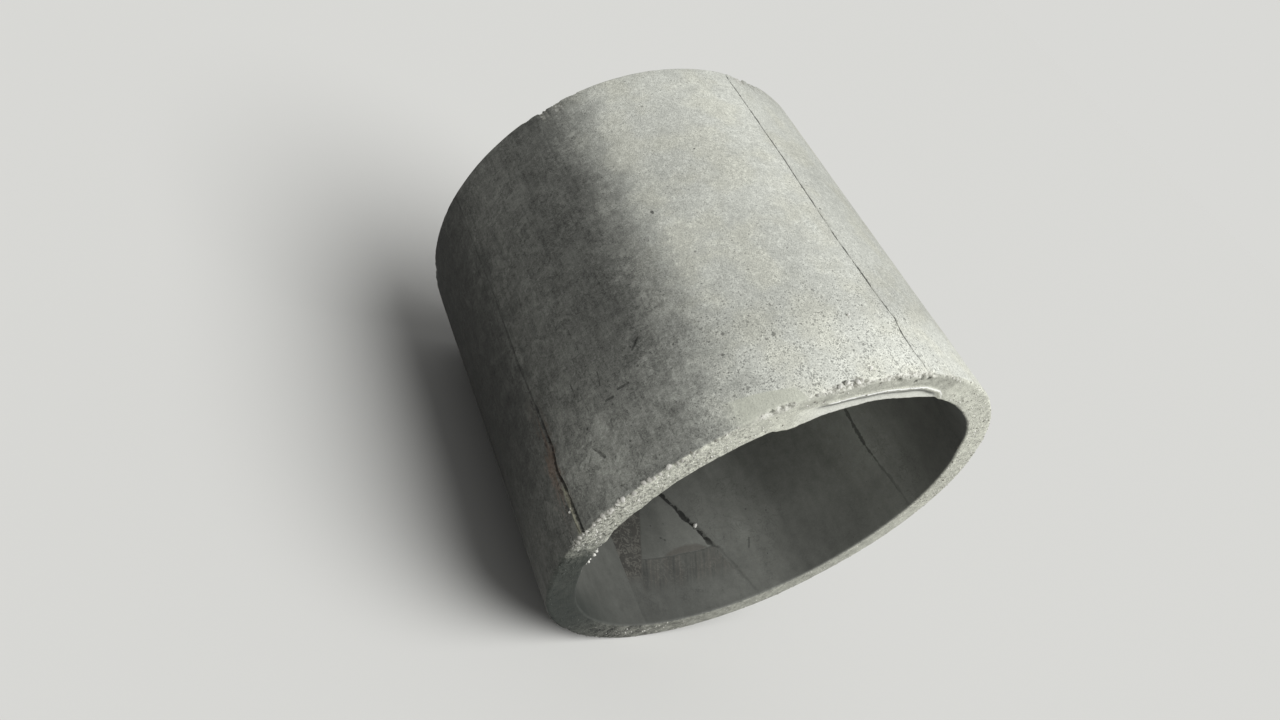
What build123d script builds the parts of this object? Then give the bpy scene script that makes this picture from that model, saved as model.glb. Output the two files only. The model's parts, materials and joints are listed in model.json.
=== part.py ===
"""A precast concrete manhole ring with plain ends, lying on its side.

The ring is one casting. Its axis runs along Y, with the front end towards -Y, and it rests on
the ground at Z = 0 below the origin. Places around the wall are given as clock angles: degrees
from the top, clockwise as seen from the front, so that 90 is the +X side and -90 the -X side.

The form it was cast in left its marks: a shallow groove along the wall at each joint between
two form plates, and one slanting groove in the bore, where the inner form closes on a slanted
edge so that it can be folded inwards and drawn out. Part of the front face is set back in a
shallow ledge beside the bore, where one plate of the inner form stood a little too high.
"""

import os

from build123d import *

# Driving dimensions, in millimetres and degrees.
bore_diameter = 900.0
wall = 63.5
length = 900.0

outer_arris = 7.0
bore_arris = 4.0

outer_joint_angles = (-95.0, -11.5, 78.5, 168.5)
outer_joint_width = 7.0
outer_joint_depth = 3.0

bore_joint_angles = (-47.0, 78.5)
bore_joint_width = 6.0
bore_joint_depth = 2.5

closing_joint_front = 136.8
closing_joint_turn = 43.2
closing_joint_width = 9.0
closing_joint_depth = 4.0

ledge_start = -43.0
ledge_end = -1.0
ledge_width = 23.0
ledge_depth = 5.0

# What follows from them.
bore_radius = bore_diameter / 2
outer_radius = bore_radius + wall

# The front end, seen from the front: local X is +X and local Y is up.
front = Plane(
    origin=(0, -length / 2, outer_radius),
    x_dir=(1, 0, 0),
    z_dir=(0, -1, 0),
)


def turned(clock_angle):
    """The angle from local X, anticlockwise, of a clock angle on the front end."""
    return 90 - clock_angle


def notch(radius, clock_angle, width, depth):
    """A groove's section on the wall's surface, mirrored into the open side of the surface."""
    with PolarLocations(radius, 1, start_angle=turned(clock_angle)):
        Polygon(
            (depth, 0),
            (0, width / 2),
            (-depth, 0),
            (0, -width / 2),
            align=None,
        )


# The closing joint of the inner form, which turns about the axis as it goes along the bore.
with BuildSketch(front) as closing_section:
    notch(bore_radius, closing_joint_front, closing_joint_width, closing_joint_depth)

closing_groove = Solid.extrude_linear_with_rotation(
    closing_section.sketch.face(),
    center=front.origin,
    normal=(0, length, 0),
    angle=closing_joint_turn,
)

with BuildPart() as concrete_ring:
    # The wall, from the front end to the back.
    with BuildSketch(front):
        Circle(outer_radius)
        Circle(bore_radius, mode=Mode.SUBTRACT)
    extrude(amount=-length)

    # The arrises of both ends, worn round outside and broken off flat at the bore.
    end_edges = concrete_ring.edges().filter_by(GeomType.CIRCLE).group_by(SortBy.RADIUS)
    fillet(end_edges[-1], outer_arris)
    chamfer(end_edges[0], bore_arris)

    # The joints between the plates of the outer form and of the inner one.
    with BuildSketch(front):
        for angle in outer_joint_angles:
            notch(outer_radius, angle, outer_joint_width, outer_joint_depth)
        for angle in bore_joint_angles:
            notch(bore_radius, angle, bore_joint_width, bore_joint_depth)
    extrude(amount=-length, mode=Mode.SUBTRACT)
    add(closing_groove, mode=Mode.SUBTRACT)

    # The ledge, a rounded slot along the edge of the bore, half of it over the open bore.
    with BuildSketch(front):
        with BuildLine() as bore_edge:
            CenterArc((0, 0), bore_radius, turned(ledge_end), ledge_end - ledge_start)
        SlotArc(bore_edge.edge(), 2 * ledge_width)
    extrude(amount=-ledge_depth, mode=Mode.SUBTRACT)

concrete_ring.part.label = "concrete_ring"

os.makedirs("parts", exist_ok=True)
export_step(concrete_ring.part, "parts/concrete_ring.step")
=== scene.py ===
"""Dresses a precast concrete manhole ring that lies on its side.

The ring is one casting, so one mesh stands for its body. Places around the wall are given as
clock angles: degrees from the top, clockwise as seen from the front end, so that 90 is the +X
side. Depth is measured behind the front end, along +Y. Lengths are in metres, unless a docstring
says millimetres.
"""

import json
import logging
import math
import random
from dataclasses import dataclass, replace
from enum import Enum
from typing import Callable, ClassVar, Iterable, Mapping, Sequence, Union

import bmesh
import bpy
import numpy as np
from mathutils import Matrix, Vector


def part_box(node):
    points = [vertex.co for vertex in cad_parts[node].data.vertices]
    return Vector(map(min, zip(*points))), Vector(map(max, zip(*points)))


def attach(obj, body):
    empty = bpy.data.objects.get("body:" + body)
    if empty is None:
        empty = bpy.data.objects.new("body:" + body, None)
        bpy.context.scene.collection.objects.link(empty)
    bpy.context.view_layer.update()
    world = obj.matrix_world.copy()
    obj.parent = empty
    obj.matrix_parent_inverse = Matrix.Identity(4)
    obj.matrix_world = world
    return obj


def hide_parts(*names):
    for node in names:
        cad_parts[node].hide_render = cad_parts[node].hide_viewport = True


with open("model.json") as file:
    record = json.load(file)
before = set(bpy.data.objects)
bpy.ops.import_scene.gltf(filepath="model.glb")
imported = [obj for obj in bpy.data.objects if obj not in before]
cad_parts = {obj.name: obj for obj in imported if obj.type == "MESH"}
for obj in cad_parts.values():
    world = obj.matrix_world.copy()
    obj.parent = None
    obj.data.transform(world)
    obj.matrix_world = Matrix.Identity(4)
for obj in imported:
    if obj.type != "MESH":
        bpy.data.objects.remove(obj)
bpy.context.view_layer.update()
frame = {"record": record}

logging.basicConfig(level=logging.INFO, format="%(name)s: %(message)s")
LOG = logging.getLogger("manhole_ring")

MM = 0.001
RING_NODE = "concrete_ring"

Colour = tuple[float, float, float, float]
Line = Sequence[tuple[float, float]]


def tone(red: int, green: int, blue: int) -> Colour:
    """A colour as it is seen on a screen, from 0 to 255, as the linear values of a shader."""

    def linear(channel: int) -> float:
        share = channel / 255
        return share / 12.92 if share <= 0.04045 else ((share + 0.055) / 1.055) ** 2.4

    return (linear(red), linear(green), linear(blue), 1.0)


def operator(operation: str, reflected: bool = False) -> Callable[["Value", "Number"], "Value"]:
    """Makes the method behind one of Python's operators.

    Args:
        operation: The Math node's operation.
        reflected: Whether the other number comes first, as in 1 - mask.

    Returns:
        The method.
    """

    def method(self: "Value", other: "Number") -> "Value":
        terms = (other, self) if reflected else (self, other)
        return self.math(operation, *terms)

    return method


class Value:
    """A number in a node tree. Python's operators on it add Math nodes to the tree."""

    def __init__(self, bench: "Bench", socket: bpy.types.NodeSocket) -> None:
        """Keeps the tree's bench and the socket that carries the number."""
        self.bench = bench
        self.socket = socket

    def math(self, operation: str, *terms: "Number") -> "Value":
        """The result of one Math node, whose sockets take the terms in order."""
        node = self.bench.add("ShaderNodeMath", {"operation": operation}, dict(enumerate(terms)))
        return Value(self.bench, node.outputs[0])

    __add__, __radd__ = operator("ADD"), operator("ADD", reflected=True)
    __sub__, __rsub__ = operator("SUBTRACT"), operator("SUBTRACT", reflected=True)
    __mul__, __rmul__ = operator("MULTIPLY"), operator("MULTIPLY", reflected=True)
    __truediv__, __rtruediv__ = operator("DIVIDE"), operator("DIVIDE", reflected=True)
    __pow__ = operator("POWER")
    at_least, at_most = operator("MAXIMUM"), operator("MINIMUM")

    def __abs__(self) -> "Value":
        """The number without its sign."""
        return self.math("ABSOLUTE", self)

    def share(self) -> "Value":
        """The number held between 0 and 1."""
        return self.at_least(0.0).at_most(1.0)

    def ramp(self, low: float, high: float) -> "Value":
        """Rises smoothly from 0 to 1.

        Args:
            low: Where it is 0.
            high: Where it is 1. It may be the smaller of the two, and the ramp then falls.

        Returns:
            The height of the ramp.
        """
        ends = {0: self, 1: min(low, high), 2: max(low, high)}
        node = self.bench.add("ShaderNodeMapRange", {"interpolation_type": "SMOOTHSTEP"}, ends)
        rising = Value(self.bench, node.outputs[0])
        return rising if low < high else 1.0 - rising

    def hump(self, centre: float, spread: float) -> "Value":
        """A rounded hump that is 1 at its centre and 0 past its spread."""
        off = (self - centre) / spread
        return (1.0 - off * off).at_least(0.0) ** 2.0


Number = Union[float, Value]


class Bench:
    """A node tree, with one way to add any node to it."""

    def __init__(self, tree: bpy.types.NodeTree) -> None:
        """Keeps the tree."""
        self.tree = tree

    def add(
        self,
        kind: str,
        settings: Mapping[str, object] | None = None,
        inputs: Mapping[int | str, object] | None = None,
    ) -> bpy.types.Node:
        """Adds a node, makes its settings and then fills its sockets.

        Args:
            kind: The node's type.
            settings: The node's own settings by name.
            inputs: Numbers, colours, Values or sockets, by the input's name or its place.

        Returns:
            The new node.
        """
        node = self.tree.nodes.new(kind)
        for name, setting in (settings or {}).items():
            setattr(node, name, setting)
        for key, given in (inputs or {}).items():
            source = given.socket if isinstance(given, Value) else given
            if isinstance(source, bpy.types.NodeSocket):
                self.tree.links.new(source, node.inputs[key])
            else:
                node.inputs[key].default_value = source
        return node

    def value(self, socket: bpy.types.NodeSocket) -> Value:
        """The number that a socket carries."""
        return Value(self, socket)

    def vector(self, x: Number, y: Number, z: Number) -> bpy.types.NodeSocket:
        """A vector of three numbers."""
        return self.add("ShaderNodeCombineXYZ", inputs={0: x, 1: y, 2: z}).outputs[0]

    def _vector_node(self, operation: str, terms: Sequence[object]) -> bpy.types.Node:
        """One Vector Math node. A scale goes last, in the socket named Scale."""
        keys = (0, "Scale") if operation == "SCALE" else range(len(terms))
        return self.add("ShaderNodeVectorMath", {"operation": operation}, dict(zip(keys, terms)))

    def vector_math(self, operation: str, *terms: object) -> bpy.types.NodeSocket:
        """The vector that one Vector Math node gives."""
        return self._vector_node(operation, terms).outputs[0]

    def vector_number(self, operation: str, *terms: object) -> Value:
        """The number that one Vector Math node gives, such as a length."""
        return self.value(self._vector_node(operation, terms).outputs["Value"])

    def noise(
        self,
        place: bpy.types.NodeSocket,
        scale: float,
        detail: float = 2.0,
        roughness: float = 0.5,
        distortion: float = 0.0,
    ) -> Value:
        """Cloudy noise from 0 to 1, mostly near 0.5.

        Args:
            place: Where it is read.
            scale: Clouds in a metre.
            detail: How many finer layers are laid over the first.
            roughness: The strength of each finer layer.
            distortion: How far the clouds are pulled about.

        Returns:
            The noise at that place.
        """
        inputs = {"Vector": place, "Scale": scale, "Detail": detail}
        inputs.update({"Roughness": roughness, "Distortion": distortion})
        return self.value(self.add("ShaderNodeTexNoise", inputs=inputs).outputs[0])

    def cells(self, place: bpy.types.NodeSocket, scale: float) -> tuple[Value, Value]:
        """Scattered points, as a cell round each.

        Args:
            place: Where they are read.
            scale: Cells in a metre.

        Returns:
            The distance from the nearest point, in cells, and a number that is the cell's own.
        """
        node = self.add("ShaderNodeTexVoronoi", inputs={"Vector": place, "Scale": scale})
        own = self.add("ShaderNodeSeparateXYZ", inputs={0: node.outputs["Color"]})
        return self.value(node.outputs["Distance"]), self.value(own.outputs[0])

    def stretched(
        self, place: bpy.types.NodeSocket, across: float, along: float
    ) -> bpy.types.NodeSocket:
        """A place scaled by one number across the ring's axis and by another along it."""
        return self.vector_math("MULTIPLY", place, (across, along, across))

    def mixed(self, factor: Number, under: object, over: object) -> bpy.types.NodeSocket:
        """One colour over another, by a factor."""
        node = self.add("ShaderNodeMix", {"data_type": "RGBA"}, {0: factor, 6: under, 7: over})
        return node.outputs[2]

    def blended(self, factor: Number, under: object, over: object) -> bpy.types.NodeSocket:
        """One shader over another, by a factor."""
        return self.add("ShaderNodeMixShader", inputs={0: factor, 1: under, 2: over}).outputs[0]

    def shaded(self, colour: object, factor: Number) -> bpy.types.NodeSocket:
        """A colour made lighter or darker by a factor."""
        plain = colour[:3] if isinstance(colour, tuple) else colour
        return self.vector_math("SCALE", plain, factor)

    def principled(self, look: Mapping[str, object]) -> bpy.types.NodeSocket:
        """A Principled shader with some of its sockets filled."""
        return self.add("ShaderNodeBsdfPrincipled", inputs=look).outputs[0]

    def profile(self, number: Value, points: Line) -> Value:
        """A broken line through points, level beyond the first and the last.

        Args:
            number: The number that the line is read at.
            points: Up to 32 pairs of that number, in rising order, and the line's height.

        Returns:
            The line's height.
        """
        first, last = points[0][0], points[-1][0]
        heights = [height for _, height in points]
        low, span = min(heights), max(heights) - min(heights)
        node = self.add("ShaderNodeValToRGB", inputs={0: (number - first) / (last - first)})
        stops = node.color_ramp.elements
        for place, _ in points[1:-1]:
            stops.new((place - first) / (last - first))
        for stop, height in zip(stops, heights):
            stop.color = (1.0, 1.0, 1.0, (height - low) / span)
        return self.value(node.outputs["Alpha"]) * span + low


class Zone(Enum):
    """The four surfaces of the ring. The value names the mark that a mesh point carries."""

    BARREL = "on_barrel"
    FRONT_END = "on_front_end"
    BORE = "on_bore"
    BACK_END = "on_back_end"


@dataclass(frozen=True)
class RingSizes:
    """The ring's main sizes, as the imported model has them.

    Args:
        bore_radius: Radius of the bore.
        outer_radius: Radius of the barrel, which is also the height of the axis.
        length: From the front end to the back end.
    """

    bore_radius: float
    outer_radius: float
    length: float

    @classmethod
    def from_frame(cls) -> "RingSizes":
        """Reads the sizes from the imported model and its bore."""
        low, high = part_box(RING_NODE)
        bore = next(m for m in frame["record"]["mounts"] if m["name"] == "bore")
        return cls(bore["dims"]["r_mm"] * MM, bore["pos_m"][2], high.y - low.y)

    @property
    def wall(self) -> float:
        """Thickness of the wall."""
        return self.outer_radius - self.bore_radius

    def radius(self, zone: Zone, inset: float = 0.0) -> float:
        """Distance from the axis, for a place some way within the barrel or within the bore."""
        return (self.bore_radius if zone is Zone.BORE else self.outer_radius) - inset

    def point(self, radius: float, clock: float, depth: float) -> tuple[float, float, float]:
        """A point of the ring in the row's frame.

        Args:
            radius: Distance from the axis.
            clock: Clock angle in degrees.
            depth: Distance behind the front end.

        Returns:
            X, Y and Z.
        """
        turn = math.radians(clock)
        across, up = radius * math.sin(turn), radius * math.cos(turn)
        return (across, depth - self.length / 2, self.outer_radius + up)


@dataclass
class RingPlace:
    """Where a point lies on the ring, as numbers of a node tree.

    Args:
        spot: The point's position.
        radius: Distance from the axis.
        clock: Clock angle in degrees, from -180 to 180.
        depth: Distance behind the front end.
        outward: Direction away from the axis.
    """

    spot: bpy.types.NodeSocket
    radius: Value
    clock: Value
    depth: Value
    outward: bpy.types.NodeSocket

    @classmethod
    def read(cls, bench: Bench, spot: bpy.types.NodeSocket, sizes: RingSizes) -> "RingPlace":
        """Works the ring's own coordinates out of a position.

        Args:
            bench: The tree that they are worked out in.
            spot: The position.
            sizes: The ring's sizes.

        Returns:
            The coordinates.
        """
        parts = bench.add("ShaderNodeSeparateXYZ", inputs={0: spot}).outputs
        across = bench.value(parts[0])
        up = bench.value(parts[2]) - sizes.outer_radius
        from_axis = bench.vector(across, 0.0, up)
        radius = bench.vector_number("LENGTH", from_axis)
        clock = across.math("ARCTAN2", across, up) * math.degrees(1.0)
        depth = bench.value(parts[1]) + sizes.length / 2
        return cls(spot, radius, clock, depth, bench.vector_math("NORMALIZE", from_axis))

    def degrees_from(self, clock: Number) -> Value:
        """How far round the ring the point is from a clock angle, the short way."""
        return abs(self.clock.math("WRAP", self.clock - clock, 180.0, -180.0))

    def between(self, start: float, end: float, soft: float) -> Value:
        """1 between two clock angles and 0 outside them, with soft ends in degrees."""
        return self.clock.ramp(start - soft, start + soft) * self.clock.ramp(end + soft, end - soft)

    def sway(self, bench: Bench) -> Value:
        """Slow noise round zero, by which all the joints stray alike from their course."""
        return bench.noise(self.spot, 9.0, detail=1.0) - 0.5


@dataclass(frozen=True)
class FormJoint:
    """The groove that a joint between two form plates left in the wall.

    Args:
        zone: The surface that it is in, the barrel or the bore.
        clock: Its clock angle at the front end.
        width: Its width.
        depth: How deep it is cut.
        rough: How far its edges are frayed.
        strength: Depth behind the front end and how much of the joint is open there.
        course: Depth behind the front end and how many degrees it lies beside its line there.
        turn: How many degrees it turns on its way to the back end.
        wander: How far it strays from its course.
    """

    zone: Zone
    clock: float
    width: float
    depth: float
    rough: float
    strength: Line
    course: Line
    turn: float = 0.0
    wander: float = 1.5 * MM

    def beside(self, depth: float, length: float) -> float:
        """How many degrees it lies from its clock angle, at a depth of a ring of this length."""
        return self.turn * depth / length + float(np.interp(depth, *zip(*self.course)))

    def reach(self, bench: Bench, place: RingPlace, sizes: RingSizes, sway: Value) -> Value:
        """How far a point of the wall is from the groove's middle, along the wall.

        Args:
            bench: The tree that it is worked out in.
            place: The point.
            sizes: The ring's sizes.
            sway: Slow noise round zero that all the joints share.

        Returns:
            The distance.
        """
        radius = sizes.radius(self.zone)
        middle = sway * (2 * math.degrees(self.wander / radius)) + self.clock
        if self.turn:
            middle = place.depth * (self.turn / sizes.length) + middle
        middle = bench.profile(place.depth, self.course) + middle
        return place.degrees_from(middle) * (math.radians(1.0) * radius)

    def openness(self, bench: Bench, place: RingPlace) -> Value:
        """How much of the joint is open at a depth."""
        return bench.profile(place.depth, self.strength)


@dataclass(frozen=True)
class Ledge:
    """A band beside the bore where the front end is set back, with a burr along its edge.

    Args:
        edge: Clock angle and how far the band reaches from the bore, in millimetres.
        depth: How far it is set back.
        burr: How far the burr stands out.
    """

    edge: Line
    depth: float
    burr: float

    def before_lip(self, lip: Line, fade: float) -> Line:
        """Its edge on the plain front end, before the bore's edge is drawn inwards.

        Args:
            lip: Clock angle and how many millimetres the bore's edge is drawn inwards.
            fade: Distance from the bore, in millimetres, where the drawing ends.

        Returns:
            The edge, as clock angles and millimetres.
        """
        clocks = np.linspace(self.edge[0][0], self.edge[-1][0], 30)
        drawn = np.interp(clocks, *zip(*lip))
        edge = np.interp(clocks, *zip(*self.edge))
        return tuple(zip(clocks.tolist(), ((edge + drawn) / (1 + drawn / fade)).tolist()))


@dataclass(frozen=True)
class Scar:
    """A pit, a gouge or a lump in the wall.

    Args:
        start: Clock angle and depth where it starts.
        end: Clock angle and depth where it ends. A round pit ends where it starts.
        size: How far it spreads from its line.
        sink: How deep it is. A lump has less than nothing.
        inset: How far its line lies within its surface, towards the axis.
        zone: Its surface, the barrel or the bore.
    """

    start: tuple[float, float]
    end: tuple[float, float]
    size: float
    sink: float
    inset: float
    zone: Zone = Zone.BARREL

    def hump(self, bench: Bench, place: RingPlace, sizes: RingSizes) -> Value:
        """1 on the scar's line, falling to 0 past its size."""
        radius = sizes.radius(self.zone, self.inset)
        first = Vector(sizes.point(radius, *self.start))
        away = bench.vector_math("SUBTRACT", place.spot, tuple(first))
        if self.end != self.start:
            run = Vector(sizes.point(radius, *self.end)) - first
            share = bench.vector_number("DOT_PRODUCT", away, tuple(run / run.length_squared))
            nearest = bench.vector_math("SCALE", tuple(run), share.share())
            away = bench.vector_math("SUBTRACT", away, nearest)
        return bench.vector_number("LENGTH", away).hump(0.0, self.size)


def gouge(
    start: tuple[float, float],
    end: tuple[float, float],
    size: float,
    sink: float,
    inset: float = 0.0,
) -> Scar:
    """A gouge between two places, with its lengths in millimetres."""
    first, last = (start[0], start[1] * MM), (end[0], end[1] * MM)
    return Scar(first, last, size * MM, sink * MM, inset * MM)


def pit(clock: float, depth: float, size: float, sink: float, inset: float = 0.0) -> Scar:
    """A round pit, or a round lump, with its lengths in millimetres."""
    return gouge((clock, depth), (clock, depth), size, sink, inset)


STRAIGHT_JOINTS = (
    FormJoint(
        Zone.BARREL, -95, 7 * MM, 4.5 * MM, rough=9 * MM,
        strength=((0, 1), (0.2, 1), (0.3, 0.4), (0.9, 0.25)),
        course=(
            (0, 0.2), (0.04, 0), (0.088, -0.2), (0.124, -0.5), (0.148, -0.9), (0.167, -0.3),
            (0.191, 0.2), (0.26, 0.2), (0.4, -0.3), (0.6, 0.3), (0.9, 0),
        ),
    ),
    FormJoint(
        Zone.BARREL, -11.7, 4 * MM, 2 * MM, rough=3 * MM,
        strength=((0, 0.3), (0.02, 0.45), (0.05, 0.75), (0.09, 1), (0.12, 1.3), (0.9, 1)),
        course=(
            (0, 0.1), (0.016, -0.1), (0.032, 0.1), (0.046, -0.2), (0.085, -0.2), (0.104, -0.1),
            (0.119, 0.4), (0.137, 1), (0.155, 0.6), (0.2, 0.3), (0.35, -0.3), (0.6, 0.4), (0.9, 0),
        ),
    ),
    FormJoint(
        Zone.BARREL, 78.5, 5 * MM, 2.5 * MM, rough=5 * MM,
        strength=((0, 0.4), (0.1, 0.8), (0.3, 0.35), (0.5, 0.9), (0.7, 0.5), (0.9, 0.8)),
        course=((0, 0), (0.15, 0.3), (0.3, -0.2), (0.5, 0.2), (0.7, -0.3), (0.9, 0)),
    ),
    FormJoint(
        Zone.BARREL, 168.5, 5 * MM, 2.5 * MM, rough=5 * MM,
        strength=((0, 0.8), (0.2, 0.4), (0.45, 0.9), (0.9, 0.5)),
        course=((0, 0), (0.2, -0.3), (0.45, 0.2), (0.9, 0)),
    ),
    FormJoint(
        Zone.BORE, -47, 6 * MM, 2.5 * MM, rough=6 * MM,
        strength=((0, 0.3), (0.12, 0.8), (0.35, 0.5), (0.6, 0.9), (0.9, 0.6)),
        course=((0, 0), (0.2, 0.3), (0.45, -0.2), (0.7, 0.2), (0.9, 0)),
    ),
    FormJoint(
        Zone.BORE, 77.5, 9 * MM, 2.5 * MM, rough=8 * MM,
        strength=((0, 0.2), (0.12, 0.45), (0.2, 0.8), (0.9, 0.5)),
        course=(
            (0, 0), (0.085, 1), (0.146, 2.2), (0.195, 2.9), (0.246, 2.6), (0.297, 2.3), (0.9, 1),
        ),
    ),
)
CLOSING_JOINT = FormJoint(
    Zone.BORE, 136.8, 15 * MM, 9 * MM, rough=9 * MM, turn=43.2,
    strength=((0, 0.12), (0.155, 0.25), (0.175, 0.75), (0.2, 1), (0.6, 1), (0.9, 0.7)),
    course=(
        (0, 0), (0.12, -1.2), (0.155, -1.4), (0.175, -0.6), (0.2, -0.6), (0.223, -0.8),
        (0.24, -0.8), (0.254, -0.2), (0.272, -0.1), (0.294, -0.3), (0.306, -0.4), (0.324, 0.2),
        (0.346, 0.3), (0.45, 0.5), (0.9, 0),
    ),
)
JOINTS = (*STRAIGHT_JOINTS, CLOSING_JOINT)
LEDGE = Ledge(
    edge=(
        (-45, -4), (-43.6, 24), (-42, 32), (-39.2, 27), (-34.8, 19), (-32.9, 18), (-30.4, 17.5),
        (-28, 17), (-25.5, 16), (-23, 17.5), (-20.3, 18.5), (-17.2, 18), (-13.6, 18.5), (-11, 20),
        (-8.8, 20.5), (-6, 17), (-4.3, 15.5), (-2.4, 13.5), (-0.5, 7.5), (1.2, -4),
    ),
    depth=4 * MM,
    burr=2.4 * MM,
)
ARRIS_SCARS = (
    pit(-48.7, 3, 9, 5, 1.5),
    pit(-46.9, 2, 7, 4, 1.5),
    pit(-45.5, 4, 7, 4, 1.5),
    pit(-39.4, 4, 6, 3, 0.5),
    pit(-37, 8, 4, 3, 1.5),
    pit(-35.6, 11, 4.5, 3.5, 1.5),
    gouge((-34.6, 12), (-32.6, 15), 3, 3.5, 2.5),
    gouge((-31.6, 12), (-29.2, 10), 3, 3, 1.5),
    pit(-30.2, 8, 5, -3, 1.5),
    gouge((-26.9, 31), (-25.2, 13), 5.5, -3.5, -0.5),
    gouge((-25.5, 32), (-24.1, 16), 3.5, 4, -0.5),
    pit(-31, 18, 6, 4, 0.5),
    pit(-19.6, 0, 10, 7, 13.5),
    pit(-18.3, 1, 6, 5, 5.5),
    pit(-16.6, 1, 7, 6, 7.5),
    pit(-14.2, 0, 8, 4, 19.5),
    pit(-12.9, 0, 8, 5, 14.5),
    pit(-12.8, 0, 9, 6, 7.5),
    pit(-10.6, 0, 9, 5, 12.5),
    pit(-9.5, 3, 6, 4, 1.5),
    pit(-5.5, 0, 6, 3, 4.5),
    pit(-1, 0, 6, -2, 5.5),
)
WALL_SCARS = (
    pit(-50, 182, 6, 3),
    pit(-52, 143, 5, 3),
    pit(-40.9, 145, 7, 3),
    pit(-35.7, 96, 5, 3),
    pit(-27.1, 71, 5, 2),
    pit(-24.2, 80, 5, 3),
    gouge((-84.3, 118), (-83.4, 106), 2.5, 2),
    gouge((-83.4, 106), (-82.6, 92), 5.5, 4),
    gouge((-73.8, 188), (-71.3, 186), 4, 2.5),
    gouge((-77.2, 182), (-75.4, 180), 4, 2.5),
    gouge((-76.5, 244), (-77.1, 216), 2.5, 2),
    gouge((-67.6, 240), (-65.4, 258), 3.5, 2),
    gouge((-83.5, 260), (-83.8, 233), 2.5, 2),
    pit(-75.9, 86, 4, 2.5),
    pit(-81.5, 26, 4, 2.5),
    pit(-68, 205, 4, 2.5),
    gouge((-96.9, 62), (-95.9, 2), 2.5, 2),
    gouge((-100.5, 26), (-99.9, 2), 2.5, 2),
)
BORE_SCARS = tuple(
    replace(scar, zone=Zone.BORE)
    for scar in (
        pit(160.6, 225, 5, 2.5),
        pit(159.4, 217, 4.5, 2),
        pit(162.5, 264, 4, 2),
        pit(157.6, 263, 3.5, 2),
        pit(128.4, 228, 5, 2),
        pit(139.4, 178, 4, 2),
        gouge((131.7, 151), (133.1, 127), 4.5, 2),
        pit(122.3, 201, 4, 2),
    )
)


class ShapeTree(Bench):
    """A Geometry Nodes tree with named inputs, which is run once on a piece."""

    def __init__(self, name: str) -> None:
        """Starts the tree with one geometry in and one out."""
        super().__init__(bpy.data.node_groups.new(name, "GeometryNodeTree"))
        self._given: dict[str, object] = {}
        for way in ("INPUT", "OUTPUT"):
            self.tree.interface.new_socket(
                "Geometry", in_out=way, socket_type="NodeSocketGeometry"
            )
        self.start = self.add("NodeGroupInput")
        self.geometry = self.start.outputs[0]

    def _input(self, name: str, kind: str, given: float | int) -> bpy.types.NodeSocket:
        """Adds a named input to the tree and keeps what the piece gives it."""
        item = self.tree.interface.new_socket(name, in_out="INPUT", socket_type=kind)
        self._given[item.identifier] = given
        return self.start.outputs[name]

    def size(self, name: str, given: float) -> Value:
        """Adds a named number, such as a size, and what the piece gives it."""
        return self.value(self._input(name, "NodeSocketFloat", float(given)))

    def whole(self, name: str, given: int) -> bpy.types.NodeSocket:
        """Adds a named whole number, such as a seed, and what the piece gives it."""
        return self._input(name, "NodeSocketInt", int(given))

    def position(self) -> bpy.types.NodeSocket:
        """The place of each point."""
        return self.add("GeometryNodeInputPosition").outputs[0]

    def mark(self, name: str, value: Value, domain: str = "POINT") -> None:
        """Stores a number on each point or instance, for the finish to read."""
        node = self.add(
            "GeometryNodeStoreNamedAttribute",
            {"data_type": "FLOAT", "domain": domain},
            {"Geometry": self.geometry, "Name": name, "Value": value},
        )
        self.geometry = node.outputs[0]

    def marked(self, name: str) -> Value:
        """Reads a number that the mesh's points carry."""
        node = self.add("GeometryNodeInputNamedAttribute", {"data_type": "FLOAT"}, {"Name": name})
        return self.value(node.outputs[0])

    def random(self, low: float, high: float, seed: object) -> Value:
        """A random number for each point."""
        node = self.add(
            "FunctionNodeRandomValue", {"data_type": "FLOAT"}, {2: low, 3: high, "Seed": seed}
        )
        return self.value(node.outputs[1])

    def lay(self, points: object, stone: object, scale: object) -> None:
        """Lays a stone on each point, turned at random.

        Args:
            points: Geometry with the points.
            stone: Geometry of the stone.
            scale: The stone's size along its own three axes.
        """
        turn = self.vector(*(self.random(0.0, 2 * math.pi, number) for number in (3, 4, 5)))
        inputs = {"Points": points, "Instance": stone, "Rotation": turn, "Scale": scale}
        self.geometry = self.add("GeometryNodeInstanceOnPoints", inputs=inputs).outputs[0]

    def run_on(self, piece: bpy.types.Object, material: bpy.types.Material) -> None:
        """Ends the tree, runs it on a piece and leaves the piece with the plain mesh.

        Args:
            piece: The object that gives its mesh and gets the new one.
            material: The finish of the new mesh.
        """
        real = self.add("GeometryNodeRealizeInstances", inputs={0: self.geometry})
        finish = self.add("GeometryNodeSetMaterial", inputs={0: real.outputs[0]})
        finish.inputs["Material"].default_value = material
        self.add("NodeGroupOutput", inputs={0: finish.outputs[0]})
        modifier = piece.modifiers.new(self.tree.name, "NODES")
        modifier.node_group = self.tree
        for identifier, given in self._given.items():
            modifier[identifier] = given
        bpy.context.view_layer.update()
        depsgraph = bpy.context.evaluated_depsgraph_get()
        plain = bpy.data.meshes.new_from_object(
            piece.evaluated_get(depsgraph), preserve_all_data_layers=True, depsgraph=depsgraph
        )
        piece.modifiers.remove(modifier)
        piece.data = plain


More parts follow.
